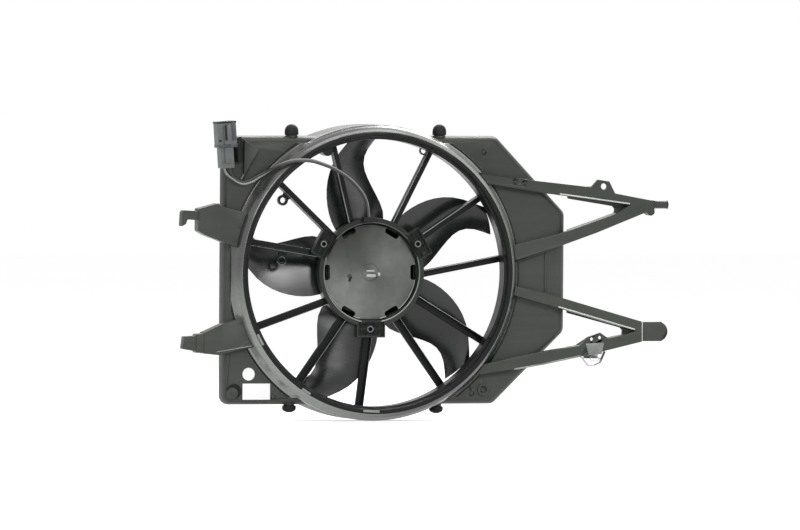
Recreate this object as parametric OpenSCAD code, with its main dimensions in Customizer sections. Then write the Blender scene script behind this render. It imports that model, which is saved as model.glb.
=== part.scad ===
// Electric radiator fan of a compact car. A moulded shroud stands in front of the radiator and
// carries a flat brushed motor on eleven spokes. The five-blade fan turns behind the spokes.
// Each module is drawn with x to the right, y up and z from the radiator towards the engine.
// upright() then stands it up, so that the engine side faces -Y and the top faces +Z.

/* [Panel] */
// Fan axis to the left edge of the panel
panel_left = 201.5; // [200:0.5:230]
// Fan axis to the right edge of the panel
panel_right = 263; // [245:1:290]
// Fan axis to the top edge of the panel
panel_top = 177; // [170:1:188]
// Fan axis to the bottom edge of the panel
panel_bottom = 171; // [165:1:182]
// Fan axis to the cut upper right corner
upper_cut = 244; // [225:1:260]
// Direction of the cut upper right corner, in degrees above level
upper_cut_angle = 43.5; // [38:0.5:50]
// Fan axis to the cut lower right corner
lower_cut = 239; // [225:1:255]
// Direction of the cut lower right corner, in degrees below level
lower_cut_angle = 45.5; // [40:0.5:50]
// Height of the panel's front above the rim that meets the radiator
panel_depth = 56; // [52:1:66]
// Radius of the panel's corners
panel_corner_r = 12; // [8:1:18]
// Height of the rolled edge below the panel's front
rolled_edge = 18; // [12:1:22]
// Inset of the skirt behind the rolled edge
skirt_inset = 12; // [9:1:15]
// Thickness of the moulded walls
wall = 2.5; // [2:0.1:3]

/* [Duct ring] */
// Inner radius of the duct round the fan
duct_r = 184; // [182:0.5:188]
// Height of the collar's lip above the panel's front
collar_h = 22; // [18:1:28]
// Inward taper of the collar from the panel to its lip
collar_taper = 7; // [4:0.5:10]
// Width of the flat lip
lip_w = 8; // [6:0.5:10]
// Width of the step inside the lip
step_w = 3.5; // [2.5:0.5:5]
// Depth of the step below the lip
step_h = 6; // [4:0.5:8]
// Width of the fillet between the collar and the panel
fillet_w = 7; // [4:0.5:9]
// Reach of the duct behind the panel's front
duct_reach = 36; // [30:1:44]

/* [Motor carrier and spokes] */
// Depth of the carrier's front below the collar's lip
carrier_recess = 28; // [24:1:30]
// Outer radius of the carrier ring
carrier_r = 71; // [69:0.5:74]
// Depth of the carrier ring and of the spokes
carrier_h = 12; // [10:0.5:13]
// Width of the ledge that the motor's end plate rests on
ledge_w = 6; // [4:0.5:7]
// Radius on which the motor screws stand
screw_ring_r = 73.5; // [72:0.5:76]
// Width of a screw pocket
pocket_w = 38; // [34:1:42]
// Radial size of a screw pocket
pocket_l = 21.5; // [19:0.5:24]
// Thickness of the pockets' walls
pocket_wall = 1.6; // [1.2:0.1:2]
// Width of a spoke
spoke_w = 9; // [6:0.5:10]
// Thickness of a spoke's web and of its foot
spoke_web = 1.8; // [1.4:0.1:2.4]
// Radius of the holes in the lead eyelets
eyelet_hole_r = 3.5; // [3:0.5:5]

/* [Fan] */
// Gap between the blade tips and the duct
tip_gap = 5; // [3:0.5:7]
// Number of blades
blade_count = 5; // [4:1:7]
// Direction of the first blade at mid span
blade_phase = 106.5; // [95:0.5:115]
// Uneven spacing of the blades, in degrees each way
blade_uneven = 4.9; // [0:0.1:6]
// Depth of the blades along the axis
blade_h = 26; // [20:1:28]
// Thickness of a blade at its middle
blade_t = 3.2; // [2.4:0.2:4]
// Outer radius of the fan's hub
hub_r = 65; // [63:0.5:66]
// Wall of the fan's hub
hub_wall = 3; // [2:0.5:4]
// Gap between the blades and the spokes
blade_gap = 4; // [3:0.5:6]

/* [Motor] */
// Outer radius of the motor can
can_r = 56; // [54:0.5:57]
// Sheet thickness of the motor can
can_t = 2; // [1.5:0.1:2.4]
// Outer radius of the end plate
plate_r = 62.6; // [61:0.1:63.5]
// Thickness of the end plate
plate_t = 3; // [2.5:0.5:4]
// Radius of the shaft
shaft_r = 4; // [3:0.5:5]
// Running clearance of the shaft in its bushes
shaft_clear = 0.05; // [0.02:0.01:0.08]
// Wall of the bearing bushes
bush_wall = 4; // [3:0.5:5]
// Gap between the armature and the magnets
air_gap = 1; // [0.6:0.1:1.4]
// Thickness of the magnets
magnet_t = 6; // [5:0.5:7]
// Thread radius of the motor screws
screw_r = 2.4; // [2:0.1:3]
// Number of vents in the end plate
vent_count = 6; // [3:1:8]

/* [Arms and fittings] */
// Height of the arms' ribs above the panel's front
arm_h = 11; // [8:0.5:14]
// Depth of the arms beyond the panel's edge
arm_depth = 21; // [16:1:24]
// Fan axis to the end of the upper right pin
pin_reach = 400; // [392:1:410]
// Radius of the upper right pin
pin_r = 5; // [4:0.5:6]
// Fan axis to the end of the lower right tongue
tongue_reach = 400; // [392:1:410]
// Fan axis to the end of the left hook
hook_reach = 260; // [256:1:268]
// Radius of the screw hole in the arm's ear
ear_hole_r = 4; // [3:0.5:5]
// Radius of the rubber buffers
buffer_r = 9; // [7:0.5:10]
// Height of the rubber buffers above the panel's top
buffer_h = 15; // [12:1:18]
// Sheet thickness of the spring clip
clip_t = 0.9; // [0.6:0.1:1.2]
// Radius of the lead
lead_r = 3.2; // [2.5:0.1:4]

/* [Hidden] */
$fn = 64;

shroud_grey = [0.27, 0.29, 0.27];
spoke_black = [0.12, 0.13, 0.12];
fan_black = [0.14, 0.15, 0.15];
steel = [0.75, 0.75, 0.76];
seat = 0.3;
eps = 0.01;

panel_z = panel_depth;
lip_z = panel_z + collar_h;
carrier_front = lip_z - carrier_recess;
carrier_rear = carrier_front - carrier_h;
base_r = duct_r + wall + 5;
lip_r = base_r - collar_taper;
step_r = lip_r - lip_w;
collar_r = step_r - step_w;
fan_r = duct_r - tip_gap;
blade_front = carrier_rear - blade_gap;
blade_rear = blade_front - blade_h;
arm_z = panel_z + arm_h;

// Panel outline: each edge has a direction, a distance from the fan axis and the width over
// which its rolled edge comes forward to the flat front.
EDGES = [
  [0, panel_right, 16],
  [upper_cut_angle, upper_cut, 12],
  [90, panel_top, 8],
  [180, panel_left, 5],
  [270, panel_bottom, 7],
  [360 - lower_cut_angle, lower_cut, 12]
];
corner_steps = 4;
roll_steps = 6;

function dir(a) = [cos(a), sin(a)];
function polar(r, a) = r * dir(a);
function lerp(a, b, t) = a + (b - a) * t;

// Where two edges meet, each given by its direction and distance.
function meet(a, da, b, db) =
  let(s = sin(b - a)) [(da * sin(b) - db * sin(a)) / s, (db * cos(a) - da * cos(b)) / s];

function edge_dist(i, roll, inset) = EDGES[i % len(EDGES)][1] - EDGES[i % len(EDGES)][2] * roll - inset;

// The outline with round corners, as far forward as roll says and moved inwards by inset.
function outline(roll, inset) = [
  for (i = [0 : len(EDGES) - 1])
    let(
      a = EDGES[i][0],
      b_next = EDGES[(i + 1) % len(EDGES)][0],
      b = b_next < a ? b_next + 360 : b_next,
      r = panel_corner_r,
      c = meet(a, edge_dist(i, roll, inset + r), b, edge_dist(i + 1, roll, inset + r)))
    for (k = [0 : corner_steps]) c + polar(r, lerp(a, b, k / corner_steps))
];

// A closed solid lofted through rings of equally many points.
module loft(rings) {
  n = len(rings[0]);
  last = len(rings) - 1;
  pts = [for (ring = rings) each ring];
  sides = [for (j = [0 : last - 1]) for (i = [0 : n - 1])
    each let(a = j * n + i, b = j * n + (i + 1) % n) [[a, a + n, b + n], [a, b + n, b]]];
  top = last * n;
  caps = [for (i = [0 : n / 2 - 2]) each [
    [i, i + 1, n - 2 - i, n - 1 - i],
    [top + n - 1 - i, top + n - 2 - i, top + i + 1, top + i]]];
  polyhedron(pts, concat(sides, caps), convexity = 6);
}

function at_height(points, z) = [for (p = points) [p[0], p[1], z]];

module upright() {
  rotate([90, 0, 0]) children();
}

module slab(points, z0, z1) {
  translate([0, 0, z0]) linear_extrude(z1 - z0) polygon(points);
}

module disc(r, z0, z1) {
  translate([0, 0, z0]) cylinder(r = r, h = z1 - z0);
}

module tube(r_out, r_in, z0, z1) {
  difference() {
    disc(r_out, z0, z1);
    disc(r_in, z0 - 1, z1 + 1);
  }
}

// A straight bar seen from the front, from p to q, with a width at each end.
function bar(p, q, wp, wq) =
  let(d = (q - p) / norm(q - p), s = [-d[1], d[0]])
  [p - s * wp / 2, q - s * wq / 2, q + s * wq / 2, p + s * wp / 2];

// Panel: a flat front with a rolled edge and round bays for the duct, all of one wall thickness.
edge_low = panel_z - 1.2 * rolled_edge;
edge_flat = panel_z - rolled_edge;

// The rolled edge from its rim to the flat front, moved inwards by inset.
function roll_rings(inset, below) = concat(
  [at_height(outline(0, inset), edge_low - below)],
  [for (k = [0 : roll_steps])
    let(f = 90 * k / roll_steps)
    at_height(outline(1 - cos(f), inset), edge_flat + (rolled_edge - inset) * sin(f))]);

buffer_x = [-108, 92];
peg_x = [-109, 90];
fitting_z = edge_flat + 6;
corner_boss = [13.5 - panel_left, 19 - panel_bottom];
lower_boss = [150, 19 - panel_bottom];
boss_r = 8;

// How far out a fitting at x stands: clear of the panel's edge and of the bay beside it.
function fitting_base(x, edge) =
  let(near = max(0, abs(x) - buffer_r))
  max(edge + 1, sqrt(max(0, base_r * base_r - near * near)) + seat);

module fitting_boss(x, edge, r) {
  rise = fitting_base(x, edge) - edge + wall + 2;
  translate([x, 0, fitting_z]) rotate([-90, 0, 0])
    translate([0, 0, edge - wall - 2]) cylinder(r = r, h = rise);
}

module panel_bosses() {
  for (p = [corner_boss, lower_boss])
    translate([p[0], p[1], panel_z - wall]) cylinder(r = boss_r, h = wall + 2.5);
  for (x = buffer_x) fitting_boss(x, panel_top, buffer_r - 1.5);
  for (x = peg_x) mirror([0, 1, 0]) fitting_boss(x, panel_bottom, buffer_r - 2);
}

module panel_ribs() {
  // Wedge beside the connector, a low rib that stiffens the front and three round pips.
  slab([[25 - panel_left, panel_top - 5], [45 - panel_left, panel_top - 18], [25 - panel_left, panel_top - 52]],
    panel_z - 1, panel_z + 6);
  slab([[232, -24], [235, -24], [235, 24], [232, 24]], panel_z - 1, panel_z + 1.5);
  for (p = [[149, 156, 3], [135, -156.5, 3], [-134, -160, 3]])
    translate([p[0], p[1], panel_z - 1]) cylinder(r = p[2], h = 2.2);
}

module panel() color(shroud_grey) upright() {
  difference() {
    union() {
      loft(roll_rings(0, 0));
      disc(base_r, edge_low, panel_z);
      panel_bosses();
      panel_ribs();
    }
    difference() {
      loft(roll_rings(wall, 1));
      for (x = buffer_x) fitting_boss(x, panel_top, buffer_r - 1.5);
      for (x = peg_x) mirror([0, 1, 0]) fitting_boss(x, panel_bottom, buffer_r - 2);
    }
    disc(base_r - wall, edge_low - 1, panel_z - wall);
    disc(duct_r + wall + seat, 0, panel_z + 1);
    for (p = [corner_boss, lower_boss])
      translate([p[0], p[1], panel_z - 1]) cylinder(r = boss_r - 3.5, h = 5);
  }
}

// Skirt: the wall behind the panel that reaches back to the radiator's face.
module skirt() color(shroud_grey) upright() {
  intersection() {
    difference() {
      union() {
        slab(outline(0, skirt_inset), 0, panel_z);
        disc(base_r, 0, edge_low);
      }
      slab(outline(0, skirt_inset + wall), -1, panel_z + 1);
      disc(base_r - wall, -1, panel_z + 1);
      tube(base_r + eps, base_r - wall - 1, edge_low, panel_z + 1);
    }
    union() {
      loft(roll_rings(wall, 0));
      disc(base_r + panel_right, 0, edge_low);
    }
  }
}

// Collar: a tapered ring on the panel's front with a flat lip and a step. The duct goes on behind it.
function ring_outside() = [
  [base_r + fillet_w, panel_z],
  [base_r + fillet_w * 0.45, panel_z + 1.3],
  [base_r + 0.6, panel_z + 4.5],
  [lerp(base_r, lip_r, 0.8), lerp(panel_z, lip_z, 0.86)],
  [lip_r - 0.4, lip_z - 1.2],
  [lip_r - 2, lip_z]
];

module ring_profile() {
  polygon(concat(ring_outside(), [
    [step_r + 1.5, lip_z],
    [step_r, lip_z - 1.5],
    [step_r, lip_z - step_h],
    [collar_r + 1, lip_z - step_h],
    [collar_r, lip_z - step_h - 1],
    [collar_r, carrier_front],
    [collar_r + wall, carrier_front],
    [collar_r + wall, lip_z - step_h - wall],
    [step_r + wall, lip_z - step_h - wall],
    [step_r + wall, lip_z - wall],
    [lip_r - 2 - wall, lip_z - wall],
    [duct_r, panel_z + 7],
    [duct_r, panel_z]
  ]));
}

module ring_envelope(clear) {
  rotate_extrude($fn = 180) polygon(concat(
    [[0, panel_z - 1], [base_r + fillet_w + clear, panel_z - 1]],
    [for (p = ring_outside()) [p[0] + clear, p[1]]],
    [[lip_r, lip_z + 30], [0, lip_z + 30]]));
}

SPOKES = [
  [137.5, 136.9], [113.3, 107.1], [63.2, 62.9], [33.2, 33.2], [-3.2, 6.1], [-28.8, -30.4],
  [-61, -56.6], [-90.6, -95], [-122.2, -124.5], [-146.8, -156], [159.4, 166.8]
];
foot_l = 18;

module duct() color(shroud_grey) upright() {
  tube(duct_r + wall, duct_r, panel_z - duct_reach, panel_z);
}

module collar() color(shroud_grey) upright() {
  intersection() {
    rotate_extrude($fn = 180) ring_profile();
    union() {
      slab(outline(0, 9), carrier_front - 1, lip_z + 1);
      disc(base_r, carrier_front - 1, lip_z + 1);
    }
  }
  // A short foot lies on the step beside each spoke.
  for (s = SPOKES)
    rotate([0, 0, s[1]])
      translate([step_r - step_w + 0.5, spoke_w / 2, lip_z - step_h - eps])
        cube([step_w - 0.5 + eps, foot_l, 2.5]);
  rotate([0, 0, 112.8]) translate([collar_r - 1.5, 0, 0]) disc(7, carrier_front + 2, lip_z - step_h - 2);
}

// Motor carrier: a ring with a ledge for the motor's end plate and three screw pockets.
pocket_in = screw_ring_r - pocket_l / 2;
pocket_out = screw_ring_r + pocket_l / 2;
pocket_floor = carrier_rear + 3;
boss_top = pocket_floor + 2;
POCKETS = [30, 150, 270];
ledge_r = plate_r + 1;
ear_t = 2;

module pocket_block(grow, z0, z1) {
  translate([pocket_in - grow, -pocket_w / 2 - grow, z0])
    cube([pocket_l + 2 * grow, pocket_w + 2 * grow, z1 - z0]);
}

module carrier_envelope() {
  disc(carrier_r, carrier_rear - 1, carrier_front + 1);
  for (a = POCKETS) rotate([0, 0, a]) pocket_block(0, carrier_rear - 1, carrier_front + 1);
}

module motor_carrier() color(spoke_black) upright() {
  difference() {
    union() {
      disc(carrier_r, carrier_rear, carrier_front);
      for (a = POCKETS) rotate([0, 0, a]) pocket_block(0, carrier_rear, carrier_front - 1);
    }
    for (a = POCKETS) rotate([0, 0, a]) pocket_block(-pocket_wall, pocket_floor, carrier_front + 1);
    disc(ledge_r, carrier_rear + 2, carrier_front + 1);
    disc(ledge_r - ledge_w, carrier_rear - 1, carrier_front);
    for (a = POCKETS) rotate([0, 0, a]) translate([screw_ring_r, 0, 0]) disc(screw_r + 0.1, carrier_rear - 1, boss_top);
  }
  for (a = POCKETS) rotate([0, 0, a]) {
    difference() {
      union() {
        translate([screw_ring_r, 0, 0]) disc(screw_r + 3.2, pocket_floor - eps, boss_top);
        translate([screw_ring_r - 0.8, -pocket_w / 2 + 1, pocket_floor - eps])
          cube([pocket_wall, pocket_w - 2, boss_top - pocket_floor]);
      }
      translate([screw_ring_r, 0, 0]) disc(screw_r + 0.1, carrier_rear, boss_top + 1);
    }
  }
}

// Spokes: angle sections, a flat rear flange and a web on one side, from the carrier to the duct.
module spoke_bar(p, q, w, z0, z1) {
  slab(bar(p, q, w, w), z0, z1);
}

function spoke_in(s) = polar(carrier_r - 8, s[0]);
function spoke_out(s) = polar(duct_r + 4, s[1]);

module spoke(s) {
  p = spoke_in(s);
  q = spoke_out(s);
  side = let(d = (q - p) / norm(q - p)) [-d[1], d[0]];
  shift = side * (spoke_w - spoke_web) / 2;
  spoke_bar(p, q, spoke_w, carrier_rear, carrier_rear + 5);
  spoke_bar(p + shift, q + shift, spoke_web, carrier_rear, carrier_front);
}

// Eyelets for the clips of the lead: each has a centre and the spoke that it is moulded on.
EYELETS = [[-118.5, 93.3, 0, 3.5], [-119.6, 16.6, 10, 3.5], [71.5, 157.5, 2, 2]];
eyelet_t = 5;

function foot_on(s, e) =
  let(p = spoke_in(s), d = (spoke_out(s) - p) / norm(spoke_out(s) - p)) p + d * ((e - p) * d);

module eyelet(e) {
  c = [e[0], e[1]];
  slab(bar(c, foot_on(SPOKES[e[2]], c), 2 * e[3], 4 * e[3]), carrier_rear, carrier_rear + eyelet_t);
  translate([e[0], e[1], 0]) disc(eyelet_hole_r + e[3], carrier_rear, carrier_rear + eyelet_t);
}

module spokes() color(spoke_black) upright() {
  intersection() {
    difference() {
      union() {
        for (s = SPOKES) spoke(s);
        for (e = EYELETS) eyelet(e);
      }
      carrier_envelope();
      for (e = EYELETS) translate([e[0], e[1], 0])
        disc(eyelet_hole_r, carrier_rear - 1, carrier_rear + eyelet_t + 1);
    }
    disc(duct_r, carrier_rear - 2, carrier_front + 2);
  }
}

// Arms: ribs that stand on the panel's front, run out past its edge and end in their fasteners.
arm_rear = arm_z - arm_depth;

module arm(outer, windows, webs, past) {
  difference() {
    union() {
      slab(outer, panel_z, arm_z);
      intersection() {
        slab(outer, arm_rear, arm_z);
        past_panel(past);
      }
    }
    for (w = windows) slab(w, arm_rear - 1, arm_z + 1);
    ring_envelope(seat);
  }
  // A recessed web closes part of a window.
  for (w = webs) intersection() {
    slab(w, arm_rear + 2, arm_rear + 7);
    past_panel(past);
  }
}

module past_panel(side) {
  x = side > 0 ? panel_right + 2 : -panel_left - 2;
  translate([side > 0 ? x : x - 300, -300, arm_rear - 1]) cube([300, 600, arm_depth + 2]);
}

left_edge = -panel_left;

module left_upper_arm() color(shroud_grey) upright() {
  arm([[-170, 77], [-184, 80], [-208, 86], [-212, 90], [left_edge - 37, 83], [left_edge - 37, 54],
    [-230, 49], [-211, 42], [-186, 32], [-160, 32]], [], [], -1);
  // Hook that drops over the radiator's bracket.
  slab([[left_edge - 37 + eps, 80], [-hook_reach + 2, 81], [-hook_reach, 78], [-hook_reach - 1, 60],
    [-hook_reach + 5, 63], [-hook_reach + 7, 69], [left_edge - 37 + eps, 68]], arm_rear + 4, arm_z - 2);
}

module left_lower_arm() color(shroud_grey) upright() {
  arm([[-150, -58], [-179, -58], [-206, -66], [left_edge - 29, -77], [left_edge - 29, -104],
    [-211, -106], [-165, -96], [-140, -96]], [], [], -1);
  // Collar and end block that sit in the radiator's rubber mount.
  slab([[left_edge - 29 + eps, -78], [left_edge - 39, -79], [left_edge - 39, -103], [left_edge - 29 + eps, -103]],
    arm_rear + 1, arm_z - 1);
  slab([[left_edge - 39 + eps, -81], [-hook_reach + 4, -82], [-hook_reach + 2, -98], [left_edge - 39 + eps, -101]],
    arm_rear + 3, arm_z - 3);
}

// The ears and the ends of the windows keep their distance from the pin and from the tongue.
upper_ear = pin_reach - 90.5;
upper_apex = pin_reach - 54;
lower_ear = tongue_reach - 100;
lower_apex = tongue_reach - 45;

module right_upper_arm() color(shroud_grey) upright() {
  difference() {
    union() {
      arm([[120, 132], [140, 130], [215, 119.5], [upper_ear - 17.5, 111], [upper_ear - 8.5, 121],
        [upper_ear + 7.5, 118.5], [upper_ear + 15.5, 103], [pin_reach - 21, 93], [pin_reach - 21, 80],
        [pin_reach - 33, 78], [upper_ear - 8.5, 52], [190, 13], [120, 0]],
        [[[140, 117], [223, 104], [upper_apex, 88], [upper_apex - 18, 77], [249, 50], [190, 36], [150, 60]]],
        [[[223, 104], [upper_apex, 88], [upper_apex - 18, 77], [upper_apex - 17, 82], [upper_apex - 20, 86],
          [248, 98.5], [223, 101.5]]], 1);
      translate([pin_reach - 22, 88, arm_z - arm_depth / 2]) rotate([0, 90, 0]) {
        cylinder(r = pin_r, h = 21);
        translate([0, 0, 20.5]) cylinder(r1 = pin_r, r2 = pin_r - 1, h = 1.5);
      }
      translate([pin_reach - 26, 79, 0]) disc(5, arm_rear + 3, arm_z);
    }
    translate([upper_ear, 112, 0]) disc(ear_hole_r, arm_rear - 1, arm_z + 1);
    for (p = [[189, 118.4], [201, 116.8]]) translate([p[0], p[1], 0]) disc(3, arm_z - 1.5, arm_z + 1);
  }
}

module right_lower_arm() color(shroud_grey) upright() {
  difference() {
    union() {
      arm([[120, -10], [187, -17], [249, -31.5], [tongue_reach - 37, -64], [tongue_reach - 37, -90],
        [lower_ear - 22, -110], [228, -120], [143, -132], [110, -130]],
        [[[150, -60], [187, -29], [249, -46], [lower_apex, -76], [lower_apex - 15, -81],
          [lower_ear + 17, -85.5], [lower_ear + 6, -78], [lower_ear - 12, -84], [lower_ear - 22, -95],
          [241, -100], [146, -119], [130, -90]]],
        [[[249, -46], [lower_apex, -76], [lower_apex - 15, -81], [lower_apex - 14.5, -75],
          [lower_apex - 18, -72], [249, -48.5]]], 1);
      // Rounded tongue that slides into the radiator's pocket.
      translate([0, 0, arm_z - arm_depth / 2 - 4]) linear_extrude(8) {
        polygon([[tongue_reach - 38, -64.5], [tongue_reach - 8, -64.5], [tongue_reach - 8, -89.5],
          [tongue_reach - 38, -89.5]]);
        translate([tongue_reach - 12.5, -77]) circle(r = 12.5);
      }
    }
    for (p = [[lower_ear - 5.5, -86.5], [lower_ear + 5.5, -84.5]])
      translate([p[0], p[1], 0]) disc(2.2, arm_rear - 1, arm_z + 1);
  }
}

// Fittings: rubber buffers on top, pegs below and the spring clip on the lower right arm.
module top_buffers() color([0.08, 0.08, 0.08]) upright() {
  for (x = buffer_x)
    let(foot = fitting_base(x, panel_top), top = foot - 1 + buffer_h)
    translate([x, 0, fitting_z]) rotate([-90, 0, 0])
      rotate_extrude() polygon(concat(
        [[0, foot], [buffer_r, foot], [buffer_r, top - buffer_r]],
        [for (a = [15 : 15 : 75]) [buffer_r * cos(a), top - buffer_r * (1 - sin(a))]],
        [[2, top], [1.5, top - 1], [0, top - 1]]));
}

module bottom_pegs() color([0.08, 0.08, 0.08]) upright() {
  for (x = peg_x)
    let(foot = fitting_base(x, panel_bottom))
    translate([x, 0, fitting_z]) rotate([90, 0, 0])
      rotate_extrude() polygon([[0, foot], [buffer_r, foot], [buffer_r, foot + 5],
        [buffer_r - 1.5, foot + 7], [3, foot + 9], [0, foot + 9]]);
}

clip_x = lower_ear - 13;
clip_w = 22;

// The clip is a bent strip, drawn as its side view and extruded along the arm.
module spring_clip() color(steel) upright() {
  front = arm_z + seat;
  rear = arm_rear - seat;
  translate([clip_x, 0, 0]) rotate([90, 0, 90]) linear_extrude(clip_w)
    polygon([[-89.8, front], [-89.8, front + clip_t], [-109.2, front + clip_t], [-114.5, front - 4],
      [-122, front - 9], [-114, rear - clip_t], [-92, rear - clip_t], [-92, rear],
      [-113.4, rear], [-120.8, front - 9.2], [-113.8, front - 4.8], [-108.8, front]]);
}

// Connector: a bracket on the panel, the housing clipped to it and the plug of the lead below.
connector_tilt = 4;
connector_at = [-panel_left - 4.5, panel_top - 11];
connector_z = panel_z + 4;

module connector_frame() {
  translate([connector_at[0], connector_at[1], connector_z]) rotate([0, 0, connector_tilt]) children();
}

module connector_bracket() color(shroud_grey) upright() {
  connector_frame() {
    translate([15, -24, -4]) cube([3, 32, 22]);
    translate([15, -24, -4]) cube([12, 32, 2.5]);
  }
}

module connector_housing() color([0.36, 0.38, 0.39]) upright() {
  connector_frame() difference() {
    union() {
      translate([-10.5, -4, 0]) cube([25, 34, 20]);
      translate([-3, 0, 20 - eps]) cube([10, 24, 3]);
    }
    translate([-8.5, 6, 2]) cube([21, 25, 16]);
    translate([0.5, 6, 20.5]) cube([3, 20, 4]);
  }
}

module connector_plug() color([0.42, 0.44, 0.44]) upright() {
  connector_frame() {
    translate([-8, -30.5, 1]) cube([17.5, 26.5, 18]);
    translate([-3, -24, 19 - eps]) cube([7, 20, 2.5]);
  }
}

// Lead: swept along its clipped route from the motor over the collar to the plug.
lead_sides = 8;
LEAD = [
  [-6, 72, carrier_front + 4], [-7, 80, carrier_front + 5], [-10, 92, carrier_front + 7],
  [-16, 102, carrier_front + 10], [-25, 112, carrier_front + 14], [-36, 121, carrier_front + 19],
  [-49, 129, carrier_front + 25], [-63, 136, lip_z + 2], [-77, 141, lip_z + 3.6],
  [-91, 145, lip_z + 4.6], [-104, 146, lip_z + 4.6], [-117, 145, lip_z + 3.2],
  [-130, 140.5, lip_z - 4], [-142, 133.5, lip_z - 12], [-154, 126, panel_z + 4.4],
  for (p = [[40.5, -46.6, 3.8], [29, -49.8, 3.8], [18.5, -48.8, 4.6], [9.5, -45, 6.6], [3.5, -39.5, 10],
    [0.8, -35, 12.6], [-0.4, -30.7, 14]])
    [connector_at[0] + p[0], connector_at[1] + p[1], panel_z + p[2]]
];

function unit(v) = v / norm(v);
function tangent(path, i) = unit(path[min(i + 1, len(path) - 1)] - path[max(i - 1, 0)]);
function sweep_ring(path, i, r, n) =
  let(t = tangent(path, i), u = unit(cross(t, [0.1, 0.2, 1])), v = cross(t, u))
  [for (k = [0 : n - 1]) path[i] + r * (cos(360 * k / n) * u + sin(360 * k / n) * v)];

module lead() color([0.1, 0.1, 0.11]) upright() {
  loft([for (i = [len(LEAD) - 1 : -1 : 0]) sweep_ring(LEAD, i, lead_r, lead_sides)]);
}

module lead_grommet() color([0.07, 0.07, 0.07]) upright() {
  translate([-14, carrier_r - 5.5, carrier_front + eps]) difference() {
    cube([16, 6.2, 8]);
    translate([2, -1, -1]) cube([12, 4, 5]);
  }
}

// Motor: can and end plate outside, magnets, bushes, brushes and armature inside.
plate_z = carrier_rear + 2;
can_rear = plate_z - 30;
bush_r = shaft_r + bush_wall;
bush_h = 6;
magnet_r = can_r - can_t - seat;
core_r = magnet_r - magnet_t - air_gap;
core_rear = can_rear + 9;
core_front = core_rear + 11;
commutator_r = 14;

module motor_end_plate() color([0.42, 0.42, 0.41]) upright() {
  difference() {
    rotate_extrude($fn = 120) polygon([
      [bush_r + 0.02, plate_z - 2], [bush_r + 2, plate_z - 2], [bush_r + 2, plate_z],
      [plate_r, plate_z], [plate_r, plate_z + plate_t - 0.8], [plate_r - 0.8, plate_z + plate_t],
      [12, plate_z + plate_t], [9.5, plate_z + plate_t + 2], [5, plate_z + plate_t + 2.6],
      [0, plate_z + plate_t + 2.6], [0, plate_z + plate_t + 1], [bush_r + 0.02, plate_z + plate_t + 1]]);
    for (i = [0 : vent_count - 1]) rotate([0, 0, i * 360 / vent_count])
      translate([plate_r - 5.5, -9.5, plate_z - 1]) cube([8, 19, plate_t + 2]);
    for (a = POCKETS) rotate([0, 0, a]) translate([plate_r - 2.2, -17, plate_z - 1]) cube([4, 34, plate_t + 2]);
    translate([-28, -5, plate_z + plate_t - 0.6]) cylinder(r = 3, h = 2);
  }
}

module motor_can() color([0.5, 0.5, 0.5]) upright() {
  rotate_extrude($fn = 120) polygon([
    [bush_r + 0.02, can_rear], [can_r - 5, can_rear], [can_r, can_rear + 5], [can_r, plate_z],
    [can_r - can_t, plate_z], [can_r - can_t, can_rear + 6], [can_r - 6, can_rear + can_t],
    [bush_r + 2, can_rear + can_t], [bush_r + 2, can_rear + bush_h], [bush_r + 0.02, can_rear + bush_h]]);
}

// Three lugs welded to the can, through which the screws hold the motor to the carrier.
module motor_lugs() color([0.5, 0.5, 0.5]) upright() {
  difference() {
    for (a = POCKETS) rotate([0, 0, a])
      translate([can_r - 4, -11, carrier_rear - ear_t]) cube([pocket_out - can_r + 2, 22, ear_t]);
    disc(can_r, carrier_rear - ear_t - 1, carrier_rear + 1);
    for (a = POCKETS) rotate([0, 0, a]) translate([screw_ring_r, 0, 0])
      disc(screw_r + 0.1, carrier_rear - ear_t - 1, carrier_rear + 1);
  }
}

module magnets() color([0.2, 0.2, 0.21]) upright() {
  difference() {
    tube(magnet_r, magnet_r - magnet_t, core_rear - 1, core_front + 4);
    for (a = [0 : 90 : 270]) rotate([0, 0, a + 45])
      translate([0, -5, core_rear - 2]) cube([can_r, 10, 30]);
  }
}

module bush(z) {
  tube(bush_r, shaft_r + shaft_clear, z, z + bush_h);
}

module front_bush() color([0.72, 0.55, 0.3]) upright() {
  bush(plate_z + plate_t + 1 - bush_h);
}

module rear_bush() color([0.72, 0.55, 0.3]) upright() {
  bush(can_rear);
}

module motor_screws() color(steel) upright() {
  for (a = POCKETS) rotate([0, 0, a]) translate([screw_ring_r, 0, 0]) {
    disc(screw_r, carrier_rear - ear_t, boss_top + 1);
    difference() {
      disc(screw_r + 2.2, boss_top, boss_top + 2.8);
      translate([0, 0, boss_top + 1.5]) cylinder(r = 1.8, h = 2, $fn = 6);
    }
  }
}

brush_z = core_front + 6.5;

module brush_plate() color([0.55, 0.42, 0.25]) upright() {
  difference() {
    tube(can_r - can_t - 0.2, commutator_r + 3, brush_z - 1.5, brush_z);
    for (a = [0, 180]) rotate([0, 0, a]) translate([commutator_r, -3.3, brush_z - 2]) cube([17, 6.6, 3]);
  }
}

module brushes() color([0.15, 0.15, 0.15]) upright() {
  for (a = [0, 180]) rotate([0, 0, a])
    translate([commutator_r + seat, -3, brush_z - 1.5]) cube([12, 6, 3.2]);
}

module brush_springs() color(steel) upright() {
  for (a = [0, 180]) rotate([0, 0, a]) difference() {
    translate([commutator_r + 12.2 + seat, -2.2, brush_z - 1]) cube([4.5, 4.4, 2]);
    translate([commutator_r + 13.2 + seat, -1.2, brush_z - 2]) cube([2.5, 2.4, 4]);
  }
}

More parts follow.
